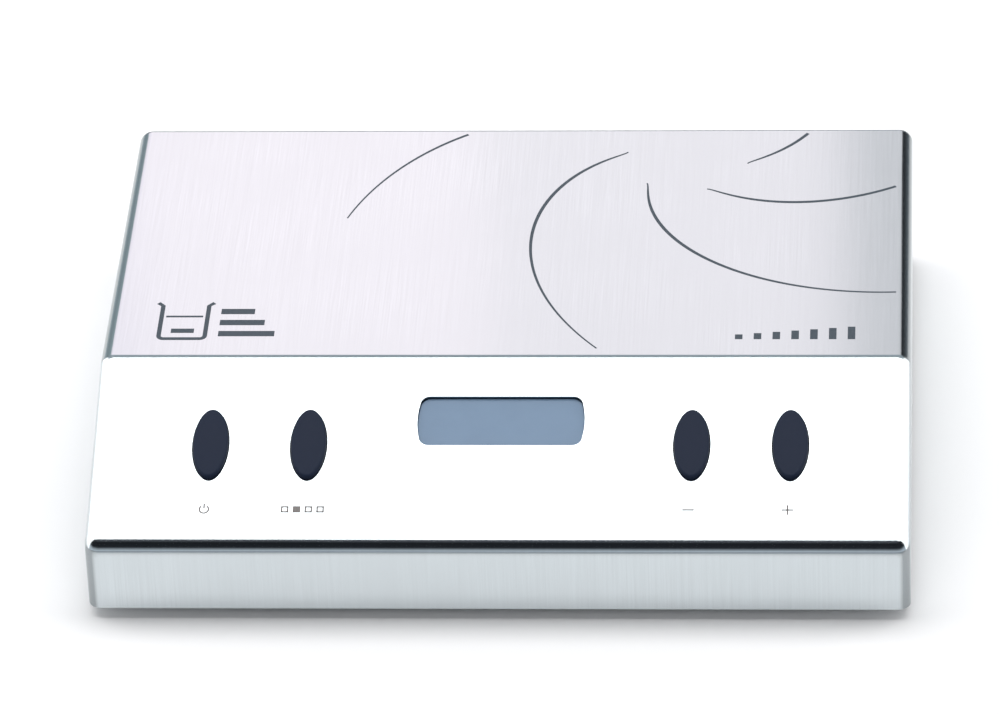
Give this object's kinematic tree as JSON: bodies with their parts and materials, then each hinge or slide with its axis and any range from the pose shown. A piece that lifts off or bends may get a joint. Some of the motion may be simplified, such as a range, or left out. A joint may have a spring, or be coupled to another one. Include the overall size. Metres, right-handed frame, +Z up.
{
  "type": "magnetic stirrer control unit",
  "caption": "Low wedge-shaped desk controller for a magnetic stirrer: folded steel housing, sloping key panel with display window, push keys, rear sockets.",
  "frame": {"origin": "on the table, under the centre of the bounding box", "axes": "+X to the user's right, +Y to the rear, +Z up; the keys face -Y and up"},
  "size_m": [0.16, 0.135, 0.0325],
  "materials": {
    "steel_housing": "fine lengthwise brushing",
    "zinc_plate": "zinc plated",
    "screw_steel": "bright zinc plated",
    "foot_rubber": "matt",
    "key_slate": "satin slate blue-grey",
    "black_plastic": "moulded, matt",
    "gasket_foam": "matt",
    "window_lens": "clear, slightly smoked",
    "lcd_cell": "blue-grey liquid-crystal cell",
    "backlight_plastic": "milky",
    "tinned_steel": "tin plated",
    "circuit_board": "green solder mask",
    "chip_epoxy": "moulded epoxy",
    "heat_sink_aluminium": "extruded",
    "capacitor_can": "sleeved can",
    "ferrite": "sintered ferrite",
    "copper_wire": "enamelled copper",
    "ribbon_pvc": "grey flat cable",
    "header_nylon": "natural nylon",
    "wire_pvc": "insulated wire",
    "nickel_shell": "satin nickel",
    "insulator_pbt": "moulded",
    "gold_contact": "gold flash",
    "spring_steel": "drawn wire",
    "plunger_acetal": "natural acetal",
    "seal_rubber": "matt",
    "label_aluminium": "blank rating plate",
    "printed_ink": "screen-printed graphics on the top",
    "label_ink": "screen-printed key symbols on the panel"
  },
  "bodies": {
    "housing": {"housing_shell": "steel_housing", "base_plate": "zinc_plate", "corner_blocks": "heat_sink_aluminium", "base_screws": "screw_steel", "rating_plate": "label_aluminium", "key_guide_frame": "black_plastic", "panel_studs": "screw_steel", "stud_nuts": "screw_steel", "key_board": "circuit_board", "display_window": "window_lens", "window_gasket": "gasket_foam", "lcd_frame": "tinned_steel", "lcd_glass": "lcd_cell", "lcd_backlight": "backlight_plastic", "lcd_board": "circuit_board", "lcd_header_pins": "tinned_steel", "main_board": "circuit_board", "board_standoffs": "screw_steel", "board_screws": "screw_steel", "microcontroller": "chip_epoxy", "driver_transistors": "chip_epoxy", "driver_heat_sink": "heat_sink_aluminium", "smoothing_capacitors": "capacitor_can", "power_choke": "ferrite", "choke_winding": "copper_wire", "board_small_parts": "chip_epoxy", "ribbon_headers": "black_plastic", "ribbon_cable": "ribbon_pvc", "drive_socket_shell": "nickel_shell", "drive_socket_insert": "insulator_pbt", "drive_socket_contacts": "gold_contact", "drive_socket_nut": "nickel_shell", "drive_socket_seal": "seal_rubber", "power_inlet_body": "insulator_pbt", "power_inlet_contacts": "gold_contact", "power_inlet_nut": "nickel_shell", "lead_headers": "header_nylon", "drive_lead": "wire_pvc", "power_lead": "wire_pvc", "foot_front_left": "foot_rubber", "foot_front_right": "foot_rubber", "foot_rear_left": "foot_rubber", "foot_rear_right": "foot_rubber", "power_switch_body": "black_plastic", "power_switch_spring": "spring_steel", "mode_switch_body": "black_plastic", "mode_switch_spring": "spring_steel", "minus_switch_body": "black_plastic", "minus_switch_spring": "spring_steel", "plus_switch_body": "black_plastic", "plus_switch_spring": "spring_steel"},
    "power_button": {"power_key": "key_slate", "power_switch_plunger": "plunger_acetal"},
    "mode_button": {"mode_key": "key_slate", "mode_switch_plunger": "plunger_acetal"},
    "minus_button": {"minus_key": "key_slate", "minus_switch_plunger": "plunger_acetal"},
    "plus_button": {"plus_key": "key_slate", "plus_switch_plunger": "plunger_acetal"}
  },
  "joints": [
    {"name": "power_press", "type": "slide", "parent": "housing", "child": "power_button", "axis": [0, 0.3361, -0.9418], "range_m": [0, 0.0012], "stiffness_N_per_m": 1200, "deforming": ["power_switch_spring"]},
    {"name": "mode_press", "type": "slide", "parent": "housing", "child": "mode_button", "axis": [0, 0.3361, -0.9418], "range_m": [0, 0.0012], "stiffness_N_per_m": 1200, "deforming": ["mode_switch_spring"]},
    {"name": "minus_press", "type": "slide", "parent": "housing", "child": "minus_button", "axis": [0, 0.3361, -0.9418], "range_m": [0, 0.0012], "stiffness_N_per_m": 1200, "deforming": ["minus_switch_spring"]},
    {"name": "plus_press", "type": "slide", "parent": "housing", "child": "plus_button", "axis": [0, 0.3361, -0.9418], "range_m": [0, 0.0012], "stiffness_N_per_m": 1200, "deforming": ["plus_switch_spring"]}
  ]
}
